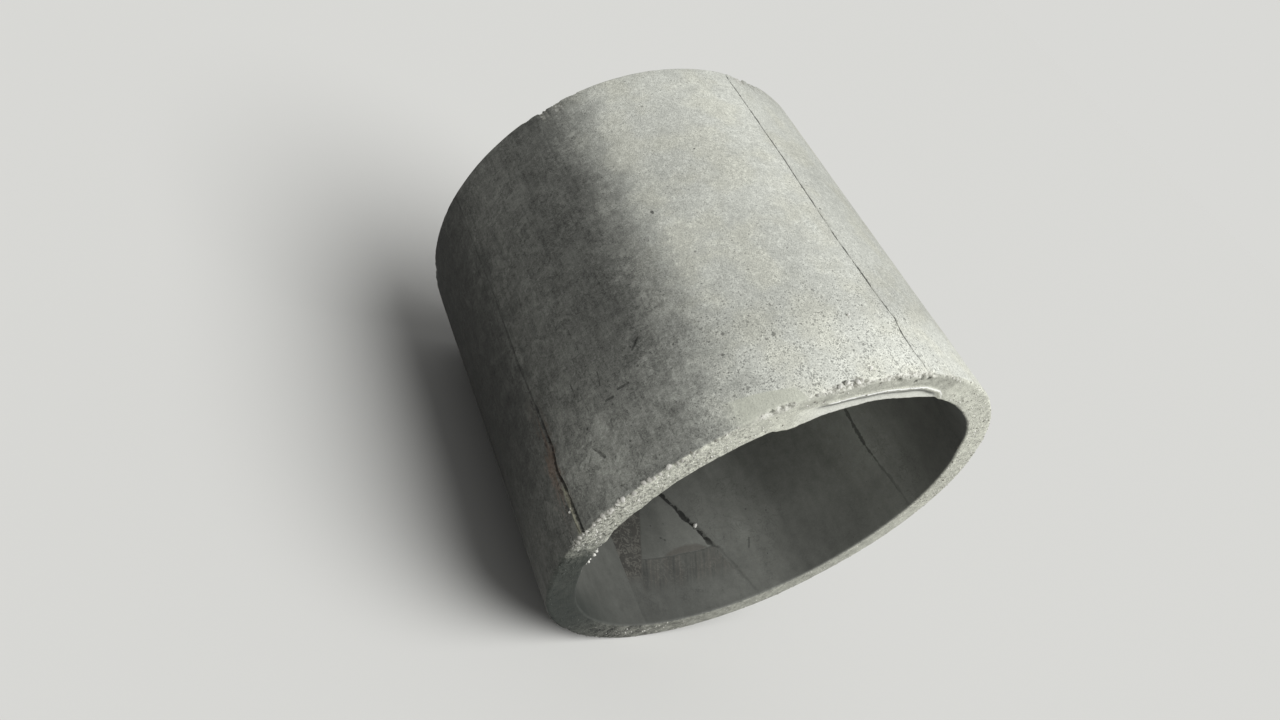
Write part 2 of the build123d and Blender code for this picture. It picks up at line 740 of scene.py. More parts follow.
class WallTree(ShapeTree):
    """The tree that weathers the wall, with its named sizes and the noise that its parts share."""

    def __init__(self, sizes: RingSizes) -> None:
        """Starts the tree and reads where each point lies."""
        super().__init__("weathered_wall")
        self.place = RingPlace.read(self, self.position(), sizes)
        self.from_bore = self.place.radius - self.size("Bore radius", sizes.bore_radius)
        self.from_outside = self.size("Outer radius", sizes.outer_radius) - self.place.radius
        self.behind = self.size("Length", sizes.length) - self.place.depth
        self.sand = self.size("Sand height", 1.5 * MM)
        self.wave = self.size("Waviness", 1.5 * MM)
        self.wear = self.size("Arris wear", 1.0)

        spot = self.place.spot
        self.chunks = self.noise(spot, 48.0, detail=3.0, roughness=0.6)
        self.crumbly = self.noise(spot, 140.0)
        self.clouds = self.noise(spot, 3.2)
        self.ripples = self.noise(spot, 15.0)
        _, self.blocks = self.cells(spot, 62.0)
        _, self.bits = self.cells(spot, 130.0)


@dataclass(frozen=True)
class Station:
    """One row of mesh points round the ring.

    Args:
        radius: Its distance from the axis.
        depth: Its distance behind the front end.
        zone: The surface that it belongs to.
    """

    radius: float
    depth: float
    zone: Zone


def filled(start: float, end: float, steps: Line, fixed: Iterable[float] = ()) -> list[float]:
    """Puts even steps between two places.

    Args:
        start: The first place.
        end: The last place.
        steps: Places that stay, in rising order, and the longest step allowed before each.
        fixed: More places that stay.

    Returns:
        All places in rising order.
    """
    stops = sorted({start, end, *fixed, *(place for place, _ in steps if start < place < end)})
    places: list[float] = []
    for low, high in zip(stops, stops[1:]):
        longest = next(step for place, step in steps if (low + high) / 2 < place)
        count = max(1, math.ceil((high - low) / longest - 1e-6))
        places += [low + (high - low) * step / count for step in range(count)]
    return [*places, end]


def placed(name: str, mesh: bpy.types.Mesh) -> bpy.types.Object:
    """Puts a mesh into the scene as a new object."""
    made = bpy.data.objects.new(name, mesh)
    bpy.context.scene.collection.objects.link(made)
    return made


@dataclass
class CastRing:
    """The ring's body: its wall with form joints, ledge, chipped arrises and rough end.

    Args:
        sizes: The ring's main sizes.
        outer_arris: Radius of the rounded outer arrises.
        bore_arris: Width of the broken arrises of the bore.
        arris_steps: Mesh steps round an outer arris.
        seam: How far from the bore's arris the back end's first row of mesh points lies.
        round_steps: Clock angle and the longest mesh step before it, in degrees: short at the
            chipped top and the rough side.
        barrel_steps: Depth and the longest mesh step before it, along the barrel.
        bore_steps: The same along the bore.
        front_steps: Distance from the bore and the longest mesh step before it, across the
            front end: short where the ledge's edge is.
        back_steps: The same across the back end.
        front_wear: Clock angle and wear in millimetres of the front end's outer arris.
        back_wear: The same for the back end.
        lip: Clock angle and how many millimetres the front end stands into the bore.
        lip_fade: Distance from the bore where the front end is no longer drawn to it.
        lip_reach: Depth behind the front end where the bore is no longer drawn in.
        ledge_reach: Depth behind the front end where the ledge's relief has faded.
    """

    sizes: RingSizes
    outer_arris: float = 7 * MM
    bore_arris: float = 4 * MM
    arris_steps: int = 4
    seam: float = 2 * MM
    round_steps: Line = ((180, 0.85), (248, 1.1), (300, 0.5), (386, 0.42), (math.inf, 1.1))
    barrel_steps: Line = ((60 * MM, 3.4 * MM), (320 * MM, 9 * MM), (math.inf, 40 * MM))
    bore_steps: Line = ((60 * MM, 3.4 * MM), (320 * MM, 8 * MM), (math.inf, 40 * MM))
    front_steps: Line = ((17 * MM, 3.2 * MM), (36 * MM, 1.6 * MM), (math.inf, 3.2 * MM))
    back_steps: Line = ((math.inf, 9 * MM),)
    front_wear: Line = (
        (-180, 4), (-150, 8), (-126, 3), (-110, 6), (-103, 8), (-98, 6), (-92, 6.5), (-86, 6),
        (-81, 2), (-66, 2), (-52, 3), (-49.5, 8), (-45, 7.5), (-43, 2), (-40.5, 5), (-38, 5),
        (-35, 12), (-30, 12), (-27, 5), (-22, 6), (-17, 9), (-12, 8.5), (-8, 6), (-3, 4), (8, 4),
        (20, 3), (62, 3.5), (90, 2), (112, 8), (130, 3), (165, 6), (180, 4),
    )
    back_wear: Line = (
        (-180, 5), (-140, 3), (-128, 13), (-116, 4), (-70, 3), (-62, 9), (-50, 3), (-14, 3),
        (-6, 12), (3, 4), (40, 2), (48, 8), (56, 3), (92, 4), (99, 11), (108, 3), (150, 4),
        (180, 5),
    )
    lip: Line = (
        (-114, 1), (-109, 3), (-105.8, 8.5), (-102.3, 6.5), (-98, 8.5), (-94, 1.5), (-86, 3),
        (-84.2, 8.5), (-81, 5.5), (-76.5, 6), (-73, 3.5), (-70, 6), (-50.5, 5), (-49, 6),
        (-48.2, 14), (-46.9, 17), (-45.6, 24), (-43.8, 25), (-39, 28), (-36.9, 25.5), (-33, 22),
        (-28, 20), (-22, 15.5), (-14, 15.5), (-11, 14), (-4, 8), (-0.5, 3), (12, -1), (23, -3.7),
        (31.3, -5.6), (37.2, -3.7), (43.4, 3.5),
    )
    lip_fade: float = 36 * MM
    lip_reach: float = 70 * MM
    ledge_reach: float = 26 * MM

    def columns(self) -> list[float]:
        """Clock angles of the mesh points round the ring, from the bore's last joint on."""
        start = STRAIGHT_JOINTS[-1].clock
        degrees = math.degrees(1 / self.sizes.outer_radius)
        beside = [
            start + (joint.clock + share * joint.width * degrees - start) % 360
            for joint in JOINTS
            for share in (-0.75, -0.5, -0.25, 0.0, 0.25, 0.5, 0.75)
        ]
        return filled(start, start + 360, self.round_steps, beside)[:-1]

    def rows(self) -> list[Station]:
        """The rows of mesh points, from the back end round the wall's section to the bore."""
        sizes, edge, lip = self.sizes, self.outer_arris, self.bore_arris
        outer, bore, length = sizes.outer_radius, sizes.bore_radius, sizes.length
        along = filled(edge, length - edge, self.barrel_steps)
        inside = filled(lip, length - lip, self.bore_steps)
        across = filled(lip, sizes.wall - edge, self.front_steps)
        back = filled(lip + self.seam, sizes.wall - edge, self.back_steps)
        arris = self._front_arris()
        zones = {Zone.BARREL: Zone.BARREL, Zone.FRONT_END: Zone.BACK_END}
        rows = [Station(bore + off, length, Zone.BACK_END) for off in back]
        rows += [Station(r.radius, length - r.depth, zones[r.zone]) for r in reversed(arris)]
        rows += [Station(outer, depth, Zone.BARREL) for depth in reversed(along)]
        rows += arris
        rows += [Station(bore + off, 0.0, Zone.FRONT_END) for off in reversed(across)]
        rows += [Station(bore, depth, Zone.BORE) for depth in inside]
        rows.append(Station(bore + lip, length, Zone.BACK_END))
        return rows

    def _front_arris(self) -> list[Station]:
        """The rounded arris between the barrel and the front end."""
        rows = []
        for step in range(1, self.arris_steps):
            turn = math.pi / 2 * step / self.arris_steps
            radius = self.sizes.outer_radius - self.outer_arris * (1 - math.cos(turn))
            depth = self.outer_arris * (1 - math.sin(turn))
            zone = Zone.BARREL if step * 2 < self.arris_steps else Zone.FRONT_END
            rows.append(Station(radius, depth, zone))
        return rows

    def _turned(self, clocks: np.ndarray, row: Station) -> np.ndarray:
        """Clock angles of a row, drawn along so that its columns keep to the joints."""
        inside = row.radius <= self.sizes.bore_radius + self.bore_arris
        if inside and row.depth >= self.bore_arris:
            zone = Zone.BORE
        elif row.radius == self.sizes.outer_radius:
            zone = Zone.BARREL
        else:
            return clocks
        joints = [joint for joint in JOINTS if joint.zone is zone]
        beside = [joint.beside(row.depth, self.sizes.length) for joint in joints]
        return clocks + np.interp(clocks, [joint.clock for joint in joints], beside, period=360)

    def blank(self) -> bpy.types.Object:
        """Makes the plain wall as a closed mesh, with each point marked by its surface."""
        clocks = np.array(self.columns())
        rows = self.rows()
        count = len(clocks)
        points = []
        for row in rows:
            turns = np.radians(self._turned(clocks, row))
            up = self.sizes.outer_radius + row.radius * np.cos(turns)
            along = np.full(count, row.depth - self.sizes.length / 2)
            points.append(np.column_stack((row.radius * np.sin(turns), along, up)))
        faces = []
        for corner in range(0, (len(rows) - 1) * count, count):
            above = corner + count
            for here in range(count):
                beside = (here + 1) % count
                faces.append((corner + here, corner + beside, above + beside, above + here))
        faces += self._closing_strip(clocks, rows)
        mesh = bpy.data.meshes.new(RING_NODE + "_body")
        mesh.from_pydata(np.concatenate(points).tolist(), [], faces)
        for zone in Zone:
            mark = mesh.attributes.new(zone.value, "FLOAT", "POINT")
            shares = np.repeat([float(row.zone is zone) for row in rows], count)
            mark.data.foreach_set("value", shares.astype(np.float32))
        made = bmesh.new()
        made.from_mesh(mesh)
        bmesh.ops.recalc_face_normals(made, faces=made.faces[:])
        LOG.info("blank: %d columns, %d rows, volume %.4f", count, len(rows), made.calc_volume())
        made.to_mesh(mesh)
        made.free()
        mesh.shade_smooth()
        return placed("cast_ring", mesh)

    def _closing_strip(
        self, clocks: np.ndarray, rows: Sequence[Station]
    ) -> list[tuple[int, int, int]]:
        """Triangles that join the bore's last row to the back end's first.

        Args:
            clocks: Clock angles of the columns.
            rows: All rows of the mesh.

        Returns:
            The triangles, as numbers of mesh points.
        """
        count = len(clocks)
        first = (len(rows) - 1) * count
        inner = list(self._turned(clocks, rows[-1])) + [clocks[0] + 360]
        outer = list(clocks) + [clocks[0] + 360]
        faces = []
        i = j = 0
        while i < count or j < count:
            if j == count or (i < count and inner[i + 1] <= outer[j + 1]):
                faces.append((first + i, first + (i + 1) % count, j % count))
                i += 1
            else:
                faces.append((first + i % count, (j + 1) % count, j))
                j += 1
        return faces

    def _breaks(self, tree: WallTree) -> tuple[Value, Value, Value]:
        """Breaks and chips the arrises.

        Args:
            tree: The wall's tree.

        Returns:
            How far they draw the wall along, how far outwards, and how broken it is there.
        """

        def cut(worn: Value, along: Value, across: Value) -> Value:
            """How far an arris is cut back, by what is worn off and the two faces beside it."""
            return ((worn - along - across) * 0.5).at_least(0.0)

        place = tree.place
        bite = tree.chunks * 0.9 + tree.blocks * 0.65 + tree.bits * 0.35 - 0.05
        front_worn = tree.profile(place.clock, self.front_wear) * tree.wear * MM * bite * 1.25
        back_worn = tree.profile(place.clock, self.back_wear) * tree.wear * MM * bite * 1.25
        jagged = place.between(-114.0, -99.0, 2.0) * 2.2 + 1.0
        mouth_worn = tree.wear * (2.6 * MM) * bite * jagged
        front_cut = cut(front_worn, place.depth, tree.from_outside)
        mouth_cut = cut(mouth_worn, place.depth, tree.from_bore)
        back_cut = cut(back_worn, tree.behind, tree.from_outside)
        inner_cut = cut(mouth_worn * 1.5, tree.behind, tree.from_bore)
        along = front_cut + mouth_cut - back_cut - inner_cut
        outwards = mouth_cut + inner_cut - front_cut - back_cut
        broken = ((front_cut + mouth_cut + back_cut + inner_cut) / (1.4 * MM)).share()
        return along, outwards, broken

    def _set_back(self, tree: WallTree) -> tuple[Value, Value]:
        """Sets the ledge back and raises the burr along its edge.

        Args:
            tree: The wall's tree.

        Returns:
            1 on the ledge and 0 off it, and how far the wall is drawn along.
        """
        clock = tree.place.clock
        fall = (1.0 - tree.place.depth / self.ledge_reach).share()
        edge_line = LEDGE.before_lip(self.lip, self.lip_fade / MM)
        edge = tree.from_bore - tree.profile(clock, edge_line) * MM
        edge = edge + (tree.ripples - 0.5) * (2 * MM)
        step = edge.ramp(1.1 * MM, -1.1 * MM) * fall
        burr = edge.hump(4.6 * MM, 4 * MM) * tree.place.between(-37.0, -1.5, 1.5) * fall
        deep = clock.ramp(-46.0, -36.0) * LEDGE.depth
        return step, step * deep - burr * (tree.crumbly + 0.5) * LEDGE.burr

    def _grooved(self, tree: WallTree, outwards: Value) -> Value:
        """Cuts the form joints into the barrel and the bore.

        Args:
            tree: The wall's tree.
            outwards: How far the wall is drawn outwards without them.

        Returns:
            How far it is drawn outwards with them.
        """
        sway = tree.place.sway(tree)
        for joint in JOINTS:
            across = joint.reach(tree, tree.place, self.sizes, sway)
            across = across + (tree.crumbly - 0.5) * joint.rough
            groove = (1.0 - across / (joint.width / 2)).share() * joint.depth
            cut = groove * (tree.chunks * 0.9 + 0.55) * joint.openness(tree, tree.place)
            cut = cut * tree.marked(joint.zone.value)
            outwards = outwards - cut if joint.zone is Zone.BARREL else outwards + cut
        return outwards

    def _drawn_in(self, tree: WallTree) -> Value:
        """How far the bore's edge stands into the bore, at the front end only."""
        near_mouth = (1.0 - tree.place.depth / self.lip_reach).share() ** 2.0
        near_bore = (1.0 - tree.from_bore / self.lip_fade).share()
        lip = tree.profile(tree.place.clock, self.lip) * MM * (tree.chunks * 0.4 + 0.8)
        scallop = (tree.ripples - 0.5) * (3.5 * MM)
        return (lip + scallop) * near_mouth * near_bore

    def _relief(self, tree: WallTree, step: Value, broken: Value) -> Value:
        """Adds the grit of the front end, the waves of the form, chips and scars.

        Args:
            tree: The wall's tree.
            step: 1 on the ledge and 0 off it.
            broken: How broken the wall is.

        Returns:
            How far the surface stands out, square to itself.
        """
        place, bits = tree.place, tree.bits
        left, right = place.between(-118.0, -52.0, 8.0), place.between(8.0, 80.0, 12.0)
        coarse = left * 0.6 + 0.45 + right * 0.4
        coarse = place.between(-116.0, -82.0, 6.0) * 0.4 + coarse
        gritty = (tree.crumbly - 0.5 + (bits - 0.5) * 0.35) * 2.0 * tree.sand * coarse
        gritty = gritty * tree.marked(Zone.FRONT_END.value)
        uneven = (tree.clouds - 0.62) * tree.wave * 2.0 + (tree.ripples - 0.55) * tree.wave * 0.7
        chipped = broken * (bits - 0.5) * (3.0 * MM)
        height = gritty * (1.0 - step * 0.8) + uneven + chipped
        dented: Number = 0.0
        for scar in ARRIS_SCARS + WALL_SCARS + BORE_SCARS:
            hump = scar.hump(tree, place, self.sizes)
            height = height - hump * (bits * 0.6 + 0.7) * scar.sink
            if scar.sink > 0:
                dented = hump + dented
        # The finish darkens these pits, as dirt and painted shade in them.
        tree.mark("dented", dented.share())
        return height

    def weathered(self, piece: bpy.types.Object, material: bpy.types.Material) -> None:
        """Cuts the joints and the ledge, breaks the arrises and roughens every surface.

        Args:
            piece: The blank.
            material: The finish of the concrete.
        """
        tree = WallTree(self.sizes)
        along, outwards, broken = self._breaks(tree)
        step, drawn = self._set_back(tree)
        tree.mark("ledge", step)
        tree.mark("broken", broken)
        outwards = self._grooved(tree, outwards) - self._drawn_in(tree)
        height = self._relief(tree, step, broken)

        normal = tree.add("GeometryNodeInputNormal").outputs[0]
        move = tree.vector_math("SCALE", tree.place.outward, outwards)
        lift = tree.vector_math("SCALE", normal, height)
        both = tree.vector_math("ADD", move, lift)
        offset = tree.vector_math("ADD", both, tree.vector(0.0, drawn + along, 0.0))
        inputs = {"Geometry": tree.geometry, "Offset": offset}
        tree.geometry = tree.add("GeometryNodeSetPosition", inputs=inputs).outputs[0]
        tree.run_on(piece, material)

    def build(self, material: bpy.types.Material) -> bpy.types.Object:
        """Makes the ring's body and gives it its finish.

        Args:
            material: The finish of the concrete.

        Returns:
            The finished piece.
        """
        piece = self.blank()
        self.weathered(piece, material)
        piece.data.shade_smooth()
        return piece


@dataclass
class ExposedGrains:
    """Sand and small stones that stand out of the rough end and the broken arrises.

    Args:
        sizes: The ring's main sizes.
        finest: Smallest radius of a grain.
        coarsest: Largest radius of a grain.
        rarity: How rare the coarse grains are: 1 makes all sizes alike.
        amount: Grains in a square metre, at most.
        seed: Chooses where the grains lie.
    """

    sizes: RingSizes
    finest: float = 0.7 * MM
    coarsest: float = 2.8 * MM
    rarity: float = 5.0
    amount: float = 36000.0
    seed: int = 11

    def build(self, wall: bpy.types.Object, material: bpy.types.Material) -> bpy.types.Object:
        """Scatters the grains over the finished wall.

        Args:
            wall: The ring's body.
            material: The finish of the grains.

        Returns:
            The finished piece.
        """
        piece = placed("exposed_grains", wall.data.copy())
        tree = ShapeTree("grain_scatter")
        place = RingPlace.read(tree, tree.position(), self.sizes)
        seed = tree.whole("Seed", self.seed)
        finest = tree.size("Finest", self.finest)
        coarsest = tree.size("Coarsest", self.coarsest)
        amount = tree.size("Grains in a square metre", self.amount)

        sandy = place.between(-112.0, -52.0, 6.0) + place.between(12.0, 85.0, 12.0) * 0.6 + 0.15
        face = tree.marked(Zone.FRONT_END.value) * (1.0 - tree.marked("ledge")) * sandy
        calm = 1.0 - place.between(-46.0, 4.0, 3.0) * 0.6
        arris = tree.marked("broken") * place.depth.ramp(0.06, 0.03) * 0.9 * calm
        spread = tree.add(
            "GeometryNodeDistributePointsOnFaces",
            {"distribute_method": "RANDOM"},
            {"Mesh": tree.geometry, "Density": (face + arris) * amount, "Seed": seed},
        )
        size = tree.random(0.0, 1.0, seed) ** self.rarity * (coarsest - finest) + finest
        shape = tree.vector(*(size * tree.random(0.6, 1.15, number) for number in (6, 7, 8)))
        stone = tree.add("GeometryNodeMeshIcoSphere", inputs={"Radius": 1.0, "Subdivisions": 1})
        tree.lay(spread.outputs["Points"], stone.outputs[0], shape)
        tree.mark("grain_tint", tree.random(0.0, 1.0, 9), "INSTANCE")
        tree.run_on(piece, material)
        piece.data.shade_flat()
        return piece


@dataclass(frozen=True)
class Pebble:
    """A single light stone or crumb of mortar.

    Args:
        clock: Clock angle.
        depth: Distance behind the front end, in millimetres.
        size: Its radius, in millimetres.
        inset: How far it lies within its surface, towards the axis, in millimetres.
        zone: Its surface, the barrel or the bore.
        tint: How light it is, from 0 to 1.
    """

    clock: float
    depth: float
    size: float
    inset: float
    zone: Zone = Zone.BARREL
    tint: float = 0.95


@dataclass
class LightCrumbs:
    """The light stones and crumbs that catch the eye on the arrises and in the joints.

    Args:
        sizes: The ring's main sizes.
        teeth: How many lumps of mortar stand along the rough side's outer arris.
        rough_side: Clock angles where those lumps start and end.
        pebbles: The stones that are placed one by one.
    """

    sizes: RingSizes
    teeth: int = 26
    rough_side: tuple[float, float] = (-101.0, -67.0)
    pebbles: tuple[Pebble, ...] = (
        Pebble(147, 235, 7, -0.5, Zone.BORE),
        Pebble(-96.7, 57, 3.4, 0.5),
        Pebble(-96.1, 61, 1.8, 0.5),
        Pebble(-23.4, 148, 3.6, -1),
        Pebble(-34.4, 7, 4.6, 1.5),
        Pebble(-32.6, 10, 5.2, 0.5),
        Pebble(-32, 5, 3, 1.5),
        Pebble(-30.3, 7, 5.6, 1.5),
        Pebble(-29.3, 8, 3, 0.5),
        Pebble(-26.3, 24, 4, 0.5),
        Pebble(-25.9, 28, 4.6, 0.5),
        Pebble(-25.4, 20, 3, 0.5),
        Pebble(-22.6, 5, 2.2, 1.5),
        Pebble(-3.2, 0, 2.6, 3.5),
        Pebble(-1.4, 0, 3, 5.5),
        Pebble(0.4, 0, 2.4, 8.5),
        Pebble(-103.2, 1, 4, 2, Zone.BORE),
        Pebble(-104.6, 0, 4.6, 1, Zone.BORE),
        Pebble(-105.3, 2, 3, 3, Zone.BORE),
        Pebble(-101.9, 0, 2.6, -2, Zone.BORE),
        Pebble(-106.9, 1, 2.6, 1, Zone.BORE),
        Pebble(-108.3, 2, 4.2, 1, Zone.BORE),
    )

    def _lumps(self) -> list[Pebble]:
        """The lumps along the rough side's outer arris, drawn with a fixed seed."""
        chance = random.Random(7)
        start, end = self.rough_side
        lumps = []
        for number in range(self.teeth):
            clock = start + (end - start) * (number + chance.uniform(0.1, 0.9)) / self.teeth
            inset, depth = chance.uniform(4.5, -0.5), chance.uniform(0.0, 4.0)
            size, tint = chance.uniform(2.4, 6.0), chance.uniform(0.35, 0.75)
            lumps.append(Pebble(clock, depth, size, inset, tint=tint))
        return lumps

    def build(self, material: bpy.types.Material) -> bpy.types.Object:
        """Lays the stones.

        Args:
            material: The finish of the grains.

        Returns:
            The finished piece.
        """
        stones = [*self.pebbles, *self._lumps()]
        spots = []
        for stone in stones:
            radius = self.sizes.radius(stone.zone, stone.inset * MM)
            spots.append(self.sizes.point(radius, stone.clock, stone.depth * MM))
        mesh = bpy.data.meshes.new("light_crumbs")
        mesh.from_pydata(spots, [], [])
        for name, given in (("size", "size"), ("grain_tint", "tint")):
            mark = mesh.attributes.new(name, "FLOAT", "POINT")
            mark.data.foreach_set("value", [float(getattr(p, given)) for p in stones])
        piece = placed("light_crumbs", mesh)
        tree = ShapeTree("crumbs_laid")
        seed = tree.whole("Seed", 4)
        flattened = tree.size("Flatness", 0.7)
        size = tree.marked("size") * MM
        shape = tree.vector(size, size * tree.random(0.75, 1.2, seed), size * flattened)
        ball = tree.add("GeometryNodeMeshIcoSphere", inputs={"Radius": 1.0, "Subdivisions": 2})
        lumpy = tree.noise(tree.position(), 1.6, detail=1.0) * 0.7 + 0.65
        uneven = tree.vector_math("SCALE", tree.position(), lumpy)
        inputs = {"Geometry": ball.outputs[0], "Position": uneven}
        stone = tree.add("GeometryNodeSetPosition", inputs=inputs).outputs[0]
        tint = tree.marked("grain_tint")
        tree.lay(tree.geometry, stone, shape)
        tree.mark("grain_tint", tint, "INSTANCE")
        tree.run_on(piece, material)
        piece.data.shade_flat()
        return piece


class Finish:
    """A finish, which makes a material out of its own shader."""

    name: ClassVar[str]

    def shader(self, bench: Bench) -> bpy.types.NodeSocket:
        """The finish's shader."""
        raise NotImplementedError

    def material(self) -> bpy.types.Material:
        """Builds the material.

        Returns:
            The new material.
        """
        made = bpy.data.materials.new(self.name)
        made.use_nodes = True
        made.node_tree.nodes.clear()
        bench = Bench(made.node_tree)
        bench.add("ShaderNodeOutputMaterial", inputs={"Surface": self.shader(bench)})
        return made


def attribute(bench: Bench, name: str) -> Value:
    """A number that a piece's mesh carries."""
    node = bench.add("ShaderNodeAttribute", {"attribute_name": name})
    return bench.value(node.outputs["Fac"])


def wet_and_shaded_foot(clock: Value) -> Value:
    """How far an end is darkened at a clock angle, as wet concrete and painted shade: most at the
    foot, on the -X side.
    """
    return clock.ramp(-93.0, -107.5) * clock.ramp(-180.0, -140.0)


@dataclass
class Ground:
    """What the finishes of the ring's surfaces share.

    Args:
        bench: The material's tree.
        place: The place on the ring.
        blotch: Noise as wide as a hand.
        mottle: Noise as wide as a finger.
        speck: Noise as wide as a grain of gravel.
        grain: Noise as fine as sand.
        dented: How far the surface lies in a pit.
    """

    bench: Bench
    place: RingPlace
    blotch: Value
    mottle: Value
    speck: Value
    grain: Value
    dented: Value


class Coat:
    """A colour that is laid in layers."""

    def __init__(self, bench: Bench, colour: object) -> None:
        """Starts with the lowest layer."""
        self.bench = bench
        self.colour = colour

    def scale(self, factor: Number) -> None:
        """Makes the whole colour lighter or darker by a factor."""
        self.colour = self.bench.shaded(self.colour, factor)

    def lay(self, cover: Number, colour: object) -> None:
        """Lays another colour over it, where the cover is 1."""
        self.colour = self.bench.mixed(cover, self.colour, colour)

    def darken(self, cover: Number, factor: float) -> None:
        """Makes it darker by a factor, where the cover is 1."""
        self.lay(cover, self.bench.shaded(self.colour, factor))


@dataclass(frozen=True)
class Lightness:
    """How light a surface is round the ring.

    Args:
        full: The grey, from 0 to 255, at which a surface shows its own colour.
        greys: Clock angle and the surface's grey there.
    """

    full: int
    greys: Line

    def at(self, bench: Bench, clock: Value) -> Value:
        """The lightness at a clock angle, as a share of the surface's own colour."""
        full = tone(self.full, 0, 0)[0]
        return bench.profile(clock, [(at, tone(grey, 0, 0)[0] / full) for at, grey in self.greys])


@dataclass(frozen=True)
class ConcreteFinish(Finish):
    """Cast concrete that has lain outdoors.

    Args:
        sizes: The ring's main sizes.
        pale: Colour of the concrete where it is washed clean.
        warm: Colour of its yellower patches.
        smooth: Colour of the smooth plane beside the front end.
        mortar: Colour of the mortar that fills the outer joint.
        end: Colour of the sandy end.
        burr: Colour of the ledge's floor.
        burr_highlight: Colour of the painted highlight along the top of the burr.
        bore: Colour of the bore, darker than the barrel partly as painted shade.
        scratch: Colour of the scratches in the bore.
        rust: Colour of the stains beside the joints.
        wet_shaded_foot: Colour of the wet foot, darker still as painted shade.
        crushed: Darkest and lightest colour of broken concrete.
        barrel_tone_and_shade: How light the barrel is round the ring: partly weathering, partly
            painted shade down its sides and underneath.
        inside: How light the bore is, partly as painted shade.
        face: How light the ends are.
        plane_edge: Clock angle and how deep the smooth plane reaches behind the front end.
        ridge_line: Clock angle and depth of the ridge in the cement skin of the bore.
        band_line: Clock angle and depth of the far edge of the dark band above that ridge.
    """

    name: ClassVar[str] = "cast_concrete"
    sizes: RingSizes
    pale: Colour = tone(215, 217, 208)
    warm: Colour = tone(217, 218, 206)
    smooth: Colour = tone(206, 208, 194)
    mortar: Colour = tone(165, 163, 142)
    end: Colour = tone(206, 207, 194)
    burr: Colour = tone(234, 235, 229)
    burr_highlight: Colour = (1.0, 1.0, 0.98, 1.0)
    bore: Colour = tone(149, 151, 144)
    scratch: Colour = tone(150, 148, 139)
    rust: Colour = tone(105, 92, 82)
    wet_shaded_foot: Colour = tone(46, 51, 47)
    crushed: tuple[Colour, Colour] = (tone(142, 141, 131), tone(228, 228, 219))
    # Partly painted shade: darker down the sides and underneath than on the top.
    barrel_tone_and_shade: Lightness = Lightness(
        216,
        (
            (-180, 90), (-150, 70), (-118, 72), (-106, 80), (-99, 98), (-90, 134), (-82, 148),
            (-74, 136), (-66, 142), (-57, 186), (-48, 220), (-36, 222), (-16, 229), (-6, 218),
            (10, 210), (50, 206), (80, 180), (120, 150), (160, 120), (180, 90),
        ),
    )
    # Partly painted shade: darker at the top and the foot of the bore, lighter at its right side.
    inside: Lightness = Lightness(
        150,
        (
            (-180, 98), (-120, 116), (-90, 128), (-20, 96), (40, 86), (60, 104), (80, 150),
            (105, 136), (118, 124), (132, 137), (148, 117), (160, 100), (180, 92),
        ),
    )
    face: Lightness = Lightness(
        206,
        (
            (-180, 110), (-125, 100), (-114, 160), (-103, 180), (-96, 180), (-82, 186), (-60, 202),
            (-5, 210), (12, 213), (40, 207), (55, 198), (70, 190), (120, 165), (180, 110),
        ),
    )
    plane_edge: Line = (
        (-56, 0.056), (-50, 0.05), (-47.8, 0.047), (-45.3, 0.04), (-42.5, 0.03), (-41, 0),
    )
    ridge_line: Line = (
        (146, 0.166), (149, 0.1657), (153, 0.1686), (161, 0.1714), (165, 0.1715), (172, 0.1753),
    )
    band_line: Line = (
        (145.5, 0.163), (146.4, 0.174), (149.1, 0.189), (153.4, 0.1945), (157.2, 0.191),
        (160.5, 0.183), (163.5, 0.168),
    )

    def shader(self, bench: Bench) -> bpy.types.NodeSocket:
        """The four surfaces, each shown where the mesh's points are marked by it."""
        spot = bench.add("ShaderNodeTexCoord").outputs["Object"]
        ground = Ground(
            bench,
            RingPlace.read(bench, spot, self.sizes),
            bench.noise(spot, 5.0, detail=3.0, roughness=0.6),
            bench.noise(spot, 42.0, detail=3.0, roughness=0.65),
            bench.noise(spot, 140.0, detail=3.0, roughness=0.75),
            bench.noise(spot, 380.0, detail=2.0, roughness=0.7),
            attribute(bench, "dented").ramp(0.3, 1.0) * 0.4,
        )
        # The dented mask and the arrises' pits darken the colour, as dirt and painted shade in the
        # pits.
        holes = self._scars(ground, [scar for scar in ARRIS_SCARS if scar.sink > 0])
        ground.dented = (ground.dented + holes).share()
        marks = {zone: attribute(bench, zone.value) for zone in Zone}
        on_end = ((marks[Zone.FRONT_END] + marks[Zone.BACK_END]) * 1.05).share()
        on_bore = (marks[Zone.BORE] * 1.05).share()
        broken = (attribute(bench, "broken") * 1.1 - 0.05).share() * 0.8
        shader = bench.blended(on_end, self._barrel(ground), self._end(ground))
        shader = bench.blended(on_bore, shader, self._bore(ground))
        return bench.blended(broken, shader, self._crushed(ground))

    @staticmethod
    def _surface(
        ground: Ground, coat: Coat, height: Value, roughness: float = 0.86
    ) -> bpy.types.NodeSocket:
        """A dull surface with fine relief, darker in the pits as dirt and painted shade.

        Args:
            ground: What the surfaces share.
            coat: Its colour.
            height: Its relief in millimetres.
            roughness: How dull it is.

        Returns:
            The shader.
        """
        # Dirt and painted shade in the pits.
        coat.darken(ground.dented, 0.3)
        relief = {"Strength": 1.0, "Distance": MM, "Height": height}
        look = {
            "Base Color": coat.colour,
            "Roughness": roughness,
            "Specular IOR Level": 0.35,
            "Normal": ground.bench.add("ShaderNodeBump", inputs=relief).outputs[0],
        }
        return ground.bench.principled(look)

